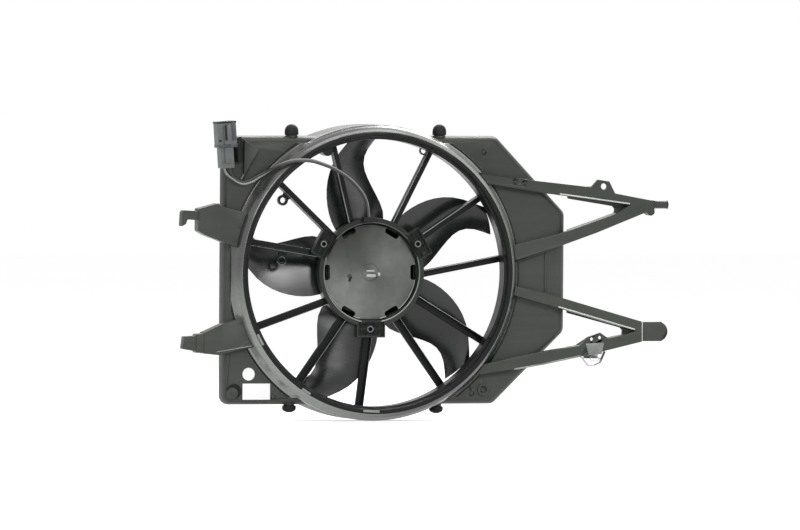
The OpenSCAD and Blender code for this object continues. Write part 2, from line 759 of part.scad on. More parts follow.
module armature_core() color([0.35, 0.35, 0.36]) upright() {
  slots = 10;
  difference() {
    disc(core_r, core_rear, core_front);
    disc(shaft_r + 0.02, core_rear - 1, core_front + 1);
    for (i = [0 : slots - 1]) rotate([0, 0, i * 360 / slots]) {
      translate([core_r - 8, -1.2, core_rear - 1]) cube([10, 2.4, core_front - core_rear + 2]);
      translate([core_r - 9, 0, 0]) disc(5, core_rear - 1, core_front + 1);
    }
  }
}

module armature_windings() color([0.72, 0.38, 0.18]) upright() {
  for (z = [[core_rear - 4, core_rear - seat], [core_front + seat, core_front + 4]])
    tube(core_r - 3, 20, z[0], z[1]);
}

module commutator() color([0.75, 0.45, 0.25]) upright() {
  bars = 10;
  difference() {
    tube(commutator_r, shaft_r + 0.02, core_front + seat, plate_z - 2 - seat);
    for (i = [0 : bars - 1]) rotate([0, 0, i * 360 / bars])
      translate([commutator_r - 1, -0.4, core_front + 4.5]) cube([2, 0.8, 10]);
  }
}

fan_rear = can_rear - 6;

module shaft() color(steel) upright() {
  disc(shaft_r, fan_rear - 3.4, plate_z + plate_t + 0.7);
}

// Fan: a cupped hub round the motor, with skewed blades lofted through their sections.
// Evenly from the hub to the tip, each section has the direction of its middle and its width.
SECTIONS = [
  [103, 63], [103.5, 59], [105.4, 49.4], [107, 39], [107.4, 30.4], [106.5, 23.4], [103.8, 18.6],
  [99.4, 15], [94.6, 12.6]
];
blade_steps = 12;
chord_steps = 7;

// A value of the sections at share t from hub to tip, along a smooth curve through them.
function section_at(col, t) =
  let(last = len(SECTIONS) - 1, x = t * last, k = min(floor(x), last - 1), u = x - k,
    p0 = SECTIONS[max(k - 1, 0)][col], p1 = SECTIONS[k][col],
    p2 = SECTIONS[k + 1][col], p3 = SECTIONS[min(k + 2, last)][col])
  p1 + 0.5 * u * (p2 - p0 + u * (2 * p0 - 5 * p1 + 4 * p2 - p3 + u * (3 * (p1 - p2) + p3 - p0)));

// One side of a section: from the rear edge (low angle) to the front edge, bent like a sail.
function section_side(t, sign) =
  let(r = lerp(hub_r - 1.6, fan_r, t), mid = section_at(0, t), w = section_at(1, t),
    depth = lerp(1, 0.72, t))
  [for (j = [0 : chord_steps])
    let(
      u = j / chord_steps,
      a = mid + w * (u - 0.5),
      z = lerp(blade_rear, blade_front - blade_t / 2, 0.5 + depth * (u - 0.5) + 0.09 * sin(180 * u)) + blade_t / 4,
      rise = sign * blade_t / 2 * (0.2 + 0.8 * sin(180 * u)))
    [r * cos(a), r * sin(a), z + rise]];

function section_ring(t) =
  concat(section_side(t, -1), [for (j = [chord_steps : -1 : 0]) section_side(t, 1)[j]]);

module blade() {
  loft([for (k = [0 : blade_steps]) section_ring(k / blade_steps)]);
}

hub_front = carrier_rear - 6;

module fan_hub() color(fan_black) upright() {
  difference() {
    rotate_extrude($fn = 120) polygon([
      [0, fan_rear], [hub_r - 4, fan_rear], [hub_r, fan_rear + 4], [hub_r, hub_front],
      [hub_r - hub_wall, hub_front], [hub_r - hub_wall, fan_rear + 5],
      [hub_r - hub_wall - 2, fan_rear + 3], [12, fan_rear + 3], [10, fan_rear + 5.4], [0, fan_rear + 5.4]]);
    disc(shaft_r + 0.02, fan_rear - 1, fan_rear + 8);
  }
}

// Turn of a blade about the axis. The uneven spacing softens the fan's tone.
function blade_turn(i) =
  let(a = i * 360 / blade_count) a + blade_phase - SECTIONS[5][0] - blade_uneven * sin(a + blade_phase - 25);

module fan_blades() color(fan_black) upright() {
  for (i = [0 : blade_count - 1]) rotate([0, 0, blade_turn(i)])
    difference() {
      blade();
      disc(hub_r, fan_rear, carrier_rear);
    }
}

module fan_nut() color(steel) upright() {
  difference() {
    translate([0, 0, fan_rear - 3.2]) cylinder(r = 7.5, h = 3.1, $fn = 6);
    disc(shaft_r + 0.02, fan_rear - 4, fan_rear + 1);
  }
}

panel();
skirt();
collar();
duct();
motor_carrier();
spokes();
left_upper_arm();
left_lower_arm();
right_upper_arm();
right_lower_arm();
top_buffers();
bottom_pegs();
spring_clip();
connector_bracket();
connector_housing();
connector_plug();
lead();
lead_grommet();
motor_end_plate();
motor_can();
motor_lugs();
magnets();
front_bush();
rear_bush();
motor_screws();
brush_plate();
brushes();
brush_springs();
armature_core();
armature_windings();
commutator();
shaft();
fan_hub();
fan_blades();
fan_nut();
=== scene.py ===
import math

import bpy
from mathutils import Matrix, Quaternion, Vector


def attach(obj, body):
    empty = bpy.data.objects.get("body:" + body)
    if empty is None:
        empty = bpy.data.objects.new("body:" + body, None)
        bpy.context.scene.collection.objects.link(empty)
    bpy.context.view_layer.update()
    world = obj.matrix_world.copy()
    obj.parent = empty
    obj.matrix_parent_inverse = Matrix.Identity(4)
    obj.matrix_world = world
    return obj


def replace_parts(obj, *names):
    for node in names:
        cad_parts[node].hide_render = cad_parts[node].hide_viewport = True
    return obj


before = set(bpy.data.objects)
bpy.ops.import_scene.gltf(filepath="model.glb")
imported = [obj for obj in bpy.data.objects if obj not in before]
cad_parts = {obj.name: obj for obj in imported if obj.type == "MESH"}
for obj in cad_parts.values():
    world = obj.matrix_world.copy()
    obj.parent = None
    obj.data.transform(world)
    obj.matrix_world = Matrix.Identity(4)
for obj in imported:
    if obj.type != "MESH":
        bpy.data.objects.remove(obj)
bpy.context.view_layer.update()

# Camera. It stands twenty metres off, seventeen degrees to the left of the fan's axis and a little
# above it, and looks beside the middle of the collar's lip through a very long lens, held a hair
# out of level.
aim = Vector((0.0268, -0.0869, 0.0107))
distance = 20
swing = math.radians(17)
rise = math.radians(1.5)
roll = math.radians(0.4)
sight = Vector((math.sin(swing) * math.cos(rise), math.cos(swing) * math.cos(rise), -math.sin(rise)))
camera = bpy.data.objects.new("camera", bpy.data.cameras.new("camera"))
bpy.context.scene.collection.objects.link(camera)
camera.location = aim - distance * sight
camera.rotation_euler = (sight.to_track_quat("-Z", "Y") @ Quaternion((0, 0, 1), roll)).to_euler()
camera.data.lens = 696
camera.data.sensor_width = 36
camera.data.clip_end = 60
bpy.context.scene.camera = camera
bpy.context.scene.view_settings.view_transform = "Standard"


# Studio. A pale floor under the pegs, a white surround and six soft lamps: a large one above on
# the left, a long one over the top, a tall one on the right, one behind for the collar's outside,
# one whose glow the blades mirror, and a weak one on the left.
def put(tree, kind, inputs=None, **settings):
    node = tree.nodes.new("ShaderNode" + kind)
    for name, value in settings.items():
        setattr(node, name, value)
    for name, value in (inputs or {}).items():
        if isinstance(value, bpy.types.NodeSocket):
            tree.links.new(value, node.inputs[name])
        else:
            node.inputs[name].default_value = value
    return node


def calc(tree, operation, *values, **settings):
    """What a Math node makes of the values."""
    return put(tree, "Math", dict(enumerate(values)), operation=operation, **settings).outputs[0]


def ramp(tree, value, start, end, to=(0.0, 1.0)):
    """The range from start to end stretched over another, and held there outside it."""
    limits = {"From Min": start, "From Max": end, "To Min": to[0], "To Max": to[1]}
    return put(tree, "MapRange", {"Value": value, **limits}).outputs[0]


def seen_straight(tree):
    """One for the rays that show the background itself, seen straight, mirrored or through glass."""
    rays = put(tree, "LightPath").outputs
    seen_or_mirrored = calc(tree, "MAXIMUM", rays["Is Camera Ray"], rays["Is Glossy Ray"])
    return calc(tree, "MAXIMUM", seen_or_mirrored, rays["Is Transmission Ray"])


surround = bpy.data.worlds.new("white_surround")
surround.use_nodes = True
tree = surround.node_tree
tree.nodes.clear()
level = ramp(tree, seen_straight(tree), 0.0, 1.0, to=(0.42, 1.0))
sky = put(tree, "Background", {"Color": (1, 1, 1, 1), "Strength": level})
put(tree, "OutputWorld", {"Surface": sky.outputs[0]})
bpy.context.scene.world = surround

floor_level = -0.1926
bpy.ops.object.select_all(action="DESELECT")
bpy.ops.mesh.primitive_plane_add(size=16, location=(0, 0, floor_level))
floor = bpy.context.object
floor.name = "floor"
bpy.ops.object.transform_apply(location=True)
pale = bpy.data.materials.new("pale_floor")
pale.use_nodes = True
tree = pale.node_tree
tree.nodes.clear()
cloud = put(tree, "TexNoise", {"Vector": put(tree, "TexCoord").outputs["Object"], "Scale": 1.5, "Detail": 2})
matt = put(tree, "BsdfDiffuse", {"Color": ramp(tree, cloud.outputs[0], 0.0, 1.0, to=(0.84, 0.88))})
glow = put(tree, "Emission", {"Strength": calc(tree, "MULTIPLY", seen_straight(tree), 0.62)})
both = put(tree, "AddShader", {0: matt.outputs[0], 1: glow.outputs[0]})
put(tree, "OutputMaterial", {"Surface": both.outputs[0]})
floor.data.materials.append(pale)

fan_middle = Vector((0, -0.05, 0))
for name, place, width, height, watts in (
    ("key_lamp", (-1.9, -2.3, 1.9), 1.3, 1.3, 30),
    ("top_lamp", (0.1, -0.5, 2.2), 1.8, 0.7, 15),
    ("right_lamp", (2.3, -1.7, 0.5), 0.7, 1.6, 8),
    ("back_lamp", (0.6, 1.35, 1.30), 1.5, 0.8, 24),
    ("blade_lamp", (0.64, -1.88, 0.93), 0.55, 0.5, 15),
    ("left_lamp", (-0.98, -1.96, 0.22), 0.6, 0.6, 7),
):
    lamp = bpy.data.objects.new(name, bpy.data.lights.new(name, "AREA"))
    bpy.context.scene.collection.objects.link(lamp)
    lamp.data.shape = "RECTANGLE"
    lamp.data.size = width
    lamp.data.size_y = height
    lamp.data.energy = watts
    lamp.location = place
    lamp.rotation_euler = (fan_middle - Vector(place)).to_track_quat("-Z", "Y").to_euler()
    lamp.visible_camera = False


# Panel. The front of the shroud, one injection moulding of black glass-filled nylon 2.5 mm thick.
# Its edge rolls back over 18 mm, and the round bays above and below make room for the duct.
def node_group(name, inputs, outputs):
    tree = bpy.data.node_groups.new(name, "ShaderNodeTree")
    for label, value in inputs.items():
        kind = "NodeSocketColor" if isinstance(value, tuple) else "NodeSocketFloat"
        tree.interface.new_socket(label, in_out="INPUT", socket_type=kind).default_value = value
    for label, kind in outputs.items():
        tree.interface.new_socket(label, in_out="OUTPUT", socket_type="NodeSocket" + kind)
    return tree, tree.nodes.new("NodeGroupInput").outputs, tree.nodes.new("NodeGroupOutput")


def stretched(tree, scale):
    place = put(tree, "TexCoord").outputs["Object"]
    return put(tree, "Mapping", {"Vector": place, "Scale": scale}).outputs[0]


def noise(tree, scale, **inputs):
    return put(tree, "TexNoise", {"Vector": stretched(tree, scale), **inputs}).outputs[0]


def by_axis(tree, kind, output):
    """The X, Y and Z of a place or of a direction."""
    return put(tree, "SeparateXYZ", {0: put(tree, kind).outputs[output]}).outputs


def shaded(tree, colour, factor):
    return put(tree, "VectorMath", {0: colour, "Scale": factor}, operation="SCALE").outputs[0]


# Moulded plastic: cloudy tone, faint flow lines, a fine grain, scuffs and dust on upward faces.
moulded, given, made = node_group(
    "moulded_plastic",
    {"Colour": (0.05, 0.05, 0.05, 1), "Roughness": 0.45, "Flow": 0.25, "Grain": 1.0, "Dust": 0.3},
    {"Colour": "Color", "Roughness": "Float", "Height": "Float"},
)
clouds = noise(moulded, (1, 1, 1), Scale=14, Detail=4, Roughness=0.6)
flow = noise(moulded, (9, 9, 70), Scale=1.4, Detail=3, Distortion=0.6)
grain = noise(moulded, (1, 1, 1), Scale=900, Detail=2)
scuffs = noise(moulded, (30, 30, 160), Scale=1, Detail=5, Roughness=0.7)
tone = calc(moulded, "ADD", calc(moulded, "ADD", clouds, flow), -1.0)
shade = calc(moulded, "ADD", calc(moulded, "MULTIPLY", tone, given["Flow"]), 1.0)
upward = ramp(moulded, by_axis(moulded, "NewGeometry", "Normal")["Z"], 0.35, 1.0)
dusted = calc(moulded, "MULTIPLY", calc(moulded, "MULTIPLY", upward, clouds), given["Dust"])
powder = put(
    moulded, "Mix",
    {"Factor": dusted, "A": shaded(moulded, given["Colour"], shade), "B": (0.30, 0.29, 0.27, 1)},
    data_type="RGBA",
)
worn = calc(moulded, "MULTIPLY", ramp(moulded, scuffs, 0.6, 0.78), 0.10)
uneven = calc(moulded, "MULTIPLY", tone, 0.16)
rough = calc(moulded, "ADD", given["Roughness"], worn)
fine = calc(moulded, "MULTIPLY", grain, given["Grain"])
coarse = calc(moulded, "MULTIPLY", scuffs, 0.5)
moulded.links.new(powder.outputs[2], made.inputs["Colour"])
moulded.links.new(calc(moulded, "ADD", rough, uneven, use_clamp=True), made.inputs["Roughness"])
moulded.links.new(calc(moulded, "ADD", fine, coarse), made.inputs["Height"])

# Painted light gradient: a colour painted paler or darker away from the middle, along Z and from
# corner to corner, as painted light and shade, down to three tenths of itself at least and up to Most.
painted_light_gradient, given, made = node_group(
    "painted_light_gradient",
    {"Colour": (0.5, 0.5, 0.5, 1), "Sideways": 0.0, "Along Z": 0.0, "Across": 0.0, "Most": 1.0},
    {"Colour": "Color"},
)
spot = by_axis(painted_light_gradient, "TexCoord", "Object")
off_middle = calc(painted_light_gradient, "ABSOLUTE", spot["X"])
aside = calc(painted_light_gradient, "MULTIPLY_ADD", off_middle, given["Sideways"], 1.0)
above = calc(painted_light_gradient, "MULTIPLY_ADD", spot["Z"], given["Along Z"], aside)
corner = calc(painted_light_gradient, "MULTIPLY", spot["X"], spot["Z"])
whole = calc(painted_light_gradient, "MULTIPLY_ADD", corner, given["Across"], above)
capped = calc(painted_light_gradient, "MINIMUM", calc(painted_light_gradient, "MAXIMUM", whole, 0.3), given["Most"])
painted_light_gradient.links.new(shaded(painted_light_gradient, given["Colour"], capped), made.inputs["Colour"])


def finish_from(name, group, values, depth, metal=0.0, coat=0.0, specular=0.5, painted_light=None):
    material = bpy.data.materials.new(name)
    material.use_nodes = True
    tree = material.node_tree
    shader = tree.nodes["Principled BSDF"]
    effect = put(tree, "Group")
    effect.node_tree = group
    for label, value in values.items():
        effect.inputs[label].default_value = value
    bump = put(tree, "Bump", {"Height": effect.outputs["Height"], "Strength": 1.0, "Distance": depth})
    tree.links.new(effect.outputs["Colour"], shader.inputs["Base Color"])
    # An optional painted light gradient scales the colour as painted light and shade.
    if painted_light:
        lit = put(tree, "Group")
        lit.node_tree = painted_light_gradient
        for label, value in painted_light.items():
            lit.inputs[label].default_value = value
        tree.links.new(effect.outputs["Colour"], lit.inputs["Colour"])
        tree.links.new(lit.outputs["Colour"], shader.inputs["Base Color"])
    tree.links.new(effect.outputs["Roughness"], shader.inputs["Roughness"])
    tree.links.new(bump.outputs[0], shader.inputs["Normal"])
    shader.inputs["Metallic"].default_value = metal
    shader.inputs["Coat Weight"].default_value = coat
    shader.inputs["Specular IOR Level"].default_value = specular
    return material


def activate(piece):
    bpy.ops.object.select_all(action="DESELECT")
    bpy.context.view_layer.objects.active = piece
    piece.select_set(True)


def cut_away(piece, cutter):
    opened = piece.modifiers.new("opened", "BOOLEAN")
    opened.object = cutter
    opened.solver = "EXACT"
    bpy.ops.object.modifier_apply(modifier=opened.name)


def round_edges(piece, width, angle):
    """Bevels the edges that turn by more than the angle, in degrees."""
    activate(piece)
    bpy.ops.object.shade_smooth_by_angle(angle=math.radians(angle))
    soft = piece.modifiers.new("soft_edges", "BEVEL")
    soft.width = width
    soft.segments = 2
    soft.limit_method = "ANGLE"
    soft.angle_limit = math.radians(angle)
    soft.use_clamp_overlap = False
    soft.harden_normals = True
    bpy.ops.object.modifier_apply(modifier=soft.name)


def soften(node, material, width, body="shroud", angle=36, cut=None):
    """A node's shape with its edges rounded off, in the node's place."""
    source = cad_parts[node]
    piece = bpy.data.objects.new(node + "_finished", source.data.copy())
    bpy.context.scene.collection.objects.link(piece)
    activate(piece)
    bpy.ops.object.mode_set(mode="EDIT")
    bpy.ops.mesh.select_all(action="SELECT")
    bpy.ops.mesh.remove_doubles(threshold=2e-6)
    bpy.ops.mesh.tris_convert_to_quads(face_threshold=math.radians(0.4), shape_threshold=math.radians(180))
    bpy.ops.object.mode_set(mode="OBJECT")
    if cut:
        cut_away(piece, cut)
    round_edges(piece, width, angle)
    piece.data.materials.clear()
    piece.data.materials.append(material)
    for face in piece.data.polygons:
        face.material_index = 0
    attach(piece, body)
    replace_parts(piece, node)
    return piece


# The shroud's nylon is painted darker towards the top, a painted shade.
shroud_black = finish_from(
    "shroud_nylon", moulded,
    {"Colour": (0.040, 0.045, 0.038, 1), "Roughness": 0.40, "Flow": 0.35, "Grain": 1.0, "Dust": 0.35},
    0.00012, specular=0.22, painted_light={"Along Z": -2.4},
)
soften("panel", shroud_black, 0.0008)

# Skirt. The wall of the same moulding that reaches back to the radiator's face, inset behind the
# rolled edge so that the core seals against its rim.
soften("skirt", shroud_black, 0.0006)

# Collar and duct. The tapered ring that stands on the panel and guides the air out of the fan,
# with a flat lip, a step inside it and the duct behind. The lip and the inside came out of the
# tool smooth and black, darker than the panel, which is partly a painted shade. The outside is
# satin and paler, partly a painted highlight, and is painted brighter towards the lower left and
# upper right and darker towards the other corners.
smooth_black_and_shade = finish_from(
    "smooth_nylon_and_shade", moulded,
    {"Colour": (0.0065, 0.0078, 0.0068, 1), "Roughness": 0.32, "Flow": 0.35, "Grain": 0.4, "Dust": 0.10},
    0.00006, specular=0.15,
)
satin_painted_highlight = finish_from(
    "satin_nylon_painted_highlight", moulded,
    {"Colour": (0.095, 0.103, 0.094, 1), "Roughness": 0.27, "Flow": 0.15, "Grain": 0.3, "Dust": 0.35},
    0.00004, coat=0.5, specular=0.8, painted_light={"Sideways": -3.3, "Across": 90.0, "Most": 2.3},
)
outside_r = 0.1815
lip_facing = -0.9
ring = soften("collar", smooth_black_and_shade, 0.0005, angle=30)
# Faces outside the lip take the paler satin, which carries a painted highlight.
ring.data.materials.append(satin_painted_highlight)
for face in ring.data.polygons:
    if math.hypot(face.center.x, face.center.z) > outside_r and face.normal.y > lip_facing:
        face.material_index = 1
soften("duct", smooth_black_and_shade, 0.0005)

# Arms. Four brackets moulded on the panel: on the right two open frames that end in a pin and a
# tongue, on the left a hook and a stepped block that sit in the radiator's rubber mounts. The
# ears of the right ones are thin, and pale beads along the windows and edges are painted
# highlights.
def rounded_block(place, sizes, radius, turn=0.0, steps=4):
    """A block with round edges at x, z and y, turned about the fan's axis by an angle."""
    bpy.ops.object.select_all(action="DESELECT")
    bpy.ops.mesh.primitive_cube_add(
        size=1, location=(place[0], place[2], place[1]), rotation=(0, -turn, 0),
        scale=(sizes[0], sizes[2], sizes[1]),
    )
    block = bpy.context.object
    bpy.ops.object.transform_apply(location=True, rotation=True, scale=True)
    bpy.ops.object.mode_set(mode="EDIT")
    bpy.ops.mesh.select_all(action="SELECT")
    bpy.ops.mesh.bevel(offset=radius, segments=steps, affect="EDGES")
    bpy.ops.object.mode_set(mode="OBJECT")
    return block


def joined(name, pieces):
    bpy.ops.object.select_all(action="DESELECT")
    for piece in pieces:
        piece.select_set(True)
    bpy.context.view_layer.objects.active = pieces[0]
    if len(pieces) > 1:
        bpy.ops.object.join()
    pieces[0].name = name
    return pieces[0]


def dress(piece, material, body="shroud"):
    activate(piece)
    bpy.ops.object.shade_smooth_by_angle(angle=math.radians(40))
    piece.data.materials.clear()
    piece.data.materials.append(material)
    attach(piece, body)
    return piece


def strip(corners, width, middle, thickness):
    """Flat bars from corner to corner, each given by x and z, that make one bent strip."""
    bars = []
    for (x, z), (u, v) in zip(corners, corners[1:]):
        length = math.hypot(u - x, v - z) + thickness
        bars.append(rounded_block(
            ((x + u) / 2, (z + v) / 2, middle), (length, thickness, width), thickness * 0.4,
            math.atan2(v - z, u - x), 2,
        ))
    return bars


ear_back = (0.0400, 0.0155, 0.0180)
behind_ears = joined("behind_ears", [
    rounded_block((0.3105, 0.1153, -0.0530), ear_back, 0.0005, math.radians(-13.6)),
    rounded_block((0.2955, -0.0829, -0.0530), ear_back, 0.0005, math.radians(13.7)),
])
soften("left_upper_arm", shroud_black, 0.0010)
soften("left_lower_arm", shroud_black, 0.0010)
soften("right_upper_arm", shroud_black, 0.0010, cut=behind_ears)
soften("right_lower_arm", shroud_black, 0.0010, cut=behind_ears)
bpy.data.objects.remove(behind_ears)
pale_highlight = finish_from(
    "pale_highlight_nylon", moulded,
    {"Colour": (0.42, 0.43, 0.41, 1), "Roughness": 0.30, "Flow": 0.5, "Grain": 0.5, "Dust": 0.2}, 0.00004,
)
arm_front = -0.0668
# Pale beads along the windows and the pin are painted highlights.
beads = strip([(0.250, 0.1022), (0.3440, 0.0897)], 0.0020, arm_front, 0.0020)
beads += strip([(0.249, -0.0445), (0.3520, -0.0737)], 0.0020, arm_front, 0.0020)
beads += strip([(0.3630, -0.0650), (0.3630, -0.0890)], 0.0014, arm_front, 0.0014)
dress(joined("arm_beads", beads), pale_highlight)
# A pale grey that draws painted highlights on edges and spoke feet.
highlight_grey = finish_from(
    "highlight_grey_nylon", moulded,
    {"Colour": (0.20, 0.21, 0.20, 1), "Roughness": 0.30, "Flow": 0.5, "Grain": 0.5, "Dust": 0.2}, 0.00004,
)
# Pale beads on the lower arms' lower edges are painted highlights.
beads = strip([(-0.2130, -0.1018), (-0.1670, -0.0942)], 0.0011, arm_front, 0.0011)
beads += strip([(0.1900, -0.1250), (0.2280, -0.1188), (0.2780, -0.1085)], 0.0024, -0.0664, 0.0024)
dress(joined("lower_arm_beads", beads), highlight_grey)


# Carrier and spokes. The motor's ring with its screw pockets, held in the air stream by eleven
# angle-section spokes, in the same nylon, but darker. Six rounded notches in its ledge let air
# into the motor. The ledge's edge, one edge of each spoke and three of their feet are painted
# pale, as painted highlights.
def at_turn(radius, turn, y):
    """A place round the fan's axis, as x, z and y."""
    return (radius * math.cos(turn), radius * math.sin(turn), y)


screw_circle_r = 0.0735
screw_turns = [math.radians(turn) for turn in (30, 150, 270)]
vent_turns = [math.radians(60 * k) for k in range(6)]
vents = joined("vents", [
    rounded_block(at_turn(0.0585, turn, -0.0425), (0.0078, 0.0196, 0.024), 0.0033, turn)
    for turn in vent_turns
])
# The carrier's nylon is painted darker towards the top and paler towards the bottom, painted shade and light.
carrier_black = finish_from(
    "carrier_nylon", moulded,
    {"Colour": (0.022, 0.025, 0.022, 1), "Roughness": 0.34, "Flow": 0.3, "Grain": 0.8, "Dust": 0.12},
    0.0001, specular=0.14, painted_light={"Along Z": -4.0, "Most": 1.4},
)
spoke_black = finish_from(
    "spoke_nylon", moulded,
    {"Colour": (0.007, 0.0085, 0.0075, 1), "Roughness": 0.34, "Flow": 0.3, "Grain": 0.8, "Dust": 0.05},
    0.0001, specular=0.12,
)
# Painted highlight: a mask of what faces forward and to the left of the way out from the fan's axis.
painted_edge_highlight, _, made = node_group("painted_edge_highlight", {}, {"Mask": "Float"})
spot = by_axis(painted_edge_highlight, "TexCoord", "Object")
faced = by_axis(painted_edge_highlight, "NewGeometry", "Normal")
one = calc(painted_edge_highlight, "MULTIPLY", spot["Z"], faced["X"])
two = calc(painted_edge_highlight, "MULTIPLY", spot["X"], faced["Z"])
round_way = calc(painted_edge_highlight, "SUBTRACT", two, one)
spread = calc(painted_edge_highlight, "MULTIPLY", spot["X"], spot["X"])
off_axis = calc(painted_edge_highlight, "SQRT", calc(painted_edge_highlight, "MULTIPLY_ADD", spot["Z"], spot["Z"], spread))
side_on = ramp(painted_edge_highlight, calc(painted_edge_highlight, "DIVIDE", round_way, off_axis), 0.2, 0.4)
frontal = ramp(painted_edge_highlight, faced["Y"], -0.1, -0.3)
painted_edge_highlight.links.new(calc(painted_edge_highlight, "MULTIPLY", side_on, frontal), made.inputs["Mask"])
tree = spoke_black.node_tree
highlight_node = put(tree, "Group")
highlight_node.node_tree = painted_edge_highlight
base = tree.nodes["Principled BSDF"].inputs["Base Color"]
# The spokes' edges in that mask are painted pale, a painted highlight.
edged = put(
    tree, "Mix", {"Factor": highlight_node.outputs["Mask"], "A": base.links[0].from_socket, "B": (0.34, 0.35, 0.33, 1)},
    data_type="RGBA",
)
tree.links.new(edged.outputs[2], base)
soften("motor_carrier", carrier_black, 0.0005, cut=vents)
soften("spokes", spoke_black, 0.0009)
# Pale bars on three spokes' feet are painted highlights.
feet = [
    rounded_block(at_turn(r, turn, -0.0782), (0.0030, length, 0.0009), 0.0003, turn, 2)
    for r, turn, length in (
        (0.1800, math.radians(208.5), 0.016),
        (0.1805, math.radians(237.9), 0.013),
        (0.1790, math.radians(267.5), 0.022),
    )
]
dress(joined("spoke_foot_highlights", feet), highlight_grey)
pockets = joined("pockets", [
    rounded_block(at_turn(0.066, turn, -0.0460), (0.020, 0.027, 0.016), 0.001, turn)
    for turn in screw_turns
])


def highlight_ring(name, radius, depth, thickness, material):
    """A painted highlight line round the motor, a thin bead open at the vents and the screw pockets."""
    bpy.ops.object.select_all(action="DESELECT")
    bpy.ops.mesh.primitive_torus_add(
        major_radius=radius, minor_radius=thickness, major_segments=144, minor_segments=10,
        location=(0, depth, 0), rotation=(math.pi / 2, 0, 0),
    )
    ring = bpy.context.object
    bpy.ops.object.transform_apply(location=True, rotation=True, scale=True)
    for gap in (vents, pockets):
        cut_away(ring, gap)
    return dress(joined(name, [ring]), material)


# A pale bead on the ledge's edge, painted brighter towards the bottom, is a painted highlight.
ledge_highlight = finish_from(
    "ledge_highlight_nylon", moulded,
    {"Colour": (0.14, 0.15, 0.14, 1), "Roughness": 0.30, "Flow": 0.5, "Grain": 0.5, "Dust": 0.1}, 0.00004,
    painted_light={"Along Z": -16.0, "Most": 2.2},
)
highlight_ring("carrier_ledge_highlight", 0.0647, -0.0497, 0.0008, ledge_highlight)

# Fan. A cupped hub with five skewed blades in black polypropylene, balanced and pressed on the
# motor's shaft. The blades are as glossy as the tool left them.
fan_black = finish_from(
    "fan_polypropylene", moulded,
    {"Colour": (0.010, 0.011, 0.011, 1), "Roughness": 0.26, "Flow": 0.3, "Grain": 0.5, "Dust": 0.0}, 0.00006,
    specular=0.4,
)
soften("fan_hub", fan_black, 0.0006, body="rotor")
soften("fan_blades", fan_black, 0.0004, body="rotor", angle=50)

# Motor. A flat can and an end plate of zinc-plated sheet steel. The plate is pressed and skimmed
# on a lathe, so faint rings run round its bearing boss. Three welded lugs take the screws.
sheet, given, made = node_group(
    "plated_sheet",
    {
        "Colour": (0.3, 0.3, 0.29, 1), "Roughness": 0.45, "Rings": 0.5, "Stains": 0.3, "Painted Sheen": 0.0,
        "Shade Depth": 1.0,
    },
    {"Colour": "Color", "Roughness": "Float", "Height": "Float"},
)
where = by_axis(sheet, "TexCoord", "Object")
flat = put(sheet, "CombineXYZ", {0: where["X"], 1: where["Z"], 2: 0.0})
radius = put(sheet, "VectorMath", {0: flat.outputs[0]}, operation="LENGTH")
across = put(sheet, "CombineXYZ", {0: radius.outputs["Value"], 1: 0.0, 2: 0.0})
turned = put(sheet, "TexNoise", {"Vector": across.outputs[0], "Scale": 1500, "Detail": 3}).outputs[0]
bloom = noise(sheet, (1, 1, 1), Scale=70, Detail=5, Roughness=0.65)
speck = noise(sheet, (1, 1, 1), Scale=420, Detail=2)
blotch = ramp(sheet, bloom, 0.35, 0.75, to=(1.0, 0.55))
ringed = ramp(sheet, turned, 0.25, 0.75, to=(0.9, 1.1))
marked = put(sheet, "Mix", {"Factor": given["Stains"], "A": 1.0, "B": blotch}, data_type="FLOAT")
lined = put(sheet, "Mix", {"Factor": given["Rings"], "A": 1.0, "B": ringed}, data_type="FLOAT")
strength = calc(sheet, "MULTIPLY", marked.outputs[0], lined.outputs[0])
# Painted sheen: a painted reflection, brighter in two opposite sectors and paler towards the lower edge.
round_about = calc(sheet, "ARCTAN2", where["Z"], where["X"])
sector = calc(sheet, "COSINE", calc(sheet, "MULTIPLY_ADD", round_about, 2.0, 4.9))
lower = calc(sheet, "MULTIPLY", where["Z"], -9.5)
glare = calc(sheet, "MULTIPLY_ADD", sector, 0.28, lower)
painted_sheen = calc(sheet, "MULTIPLY_ADD", glare, given["Painted Sheen"], 1.0)
# Painted shade: what lies deeper than this level is painted dark, as shade in the hollows.
depth_in = calc(sheet, "SUBTRACT", where["Y"], given["Shade Depth"])
unshaded = ramp(sheet, depth_in, -0.0003, 0.0003, to=(1.0, 0.03))
kept = calc(sheet, "MULTIPLY", calc(sheet, "MULTIPLY", strength, painted_sheen), unshaded)
dulled = calc(sheet, "MULTIPLY", bloom, 0.25)
grooves = calc(sheet, "MULTIPLY", turned, given["Rings"])
sheet.links.new(shaded(sheet, given["Colour"], kept), made.inputs["Colour"])
sheet.links.new(calc(sheet, "ADD", given["Roughness"], dulled, use_clamp=True), made.inputs["Roughness"])
sheet.links.new(calc(sheet, "ADD", grooves, speck), made.inputs["Height"])

# The end plate carries the painted sheen and, deeper than its face, a painted shade.
plate_zinc = finish_from(
    "end_plate_zinc", sheet,
    {
        "Colour": (0.092, 0.097, 0.090, 1), "Roughness": 0.40, "Rings": 0.9, "Stains": 0.5, "Painted Sheen": 1.0,
        "Shade Depth": -0.0424,
    },
    0.00005, metal=0.35, specular=0.3,
)
can_zinc = finish_from(
    "can_zinc", sheet, {"Colour": (0.34, 0.34, 0.33, 1), "Roughness": 0.34, "Rings": 0.2, "Stains": 0.4},
    0.00005, metal=0.85,
)
soften("motor_end_plate", plate_zinc, 0.0004, cut=vents)
soften("motor_can", can_zinc, 0.0008, cut=vents)
soften("motor_lugs", can_zinc, 0.0003)
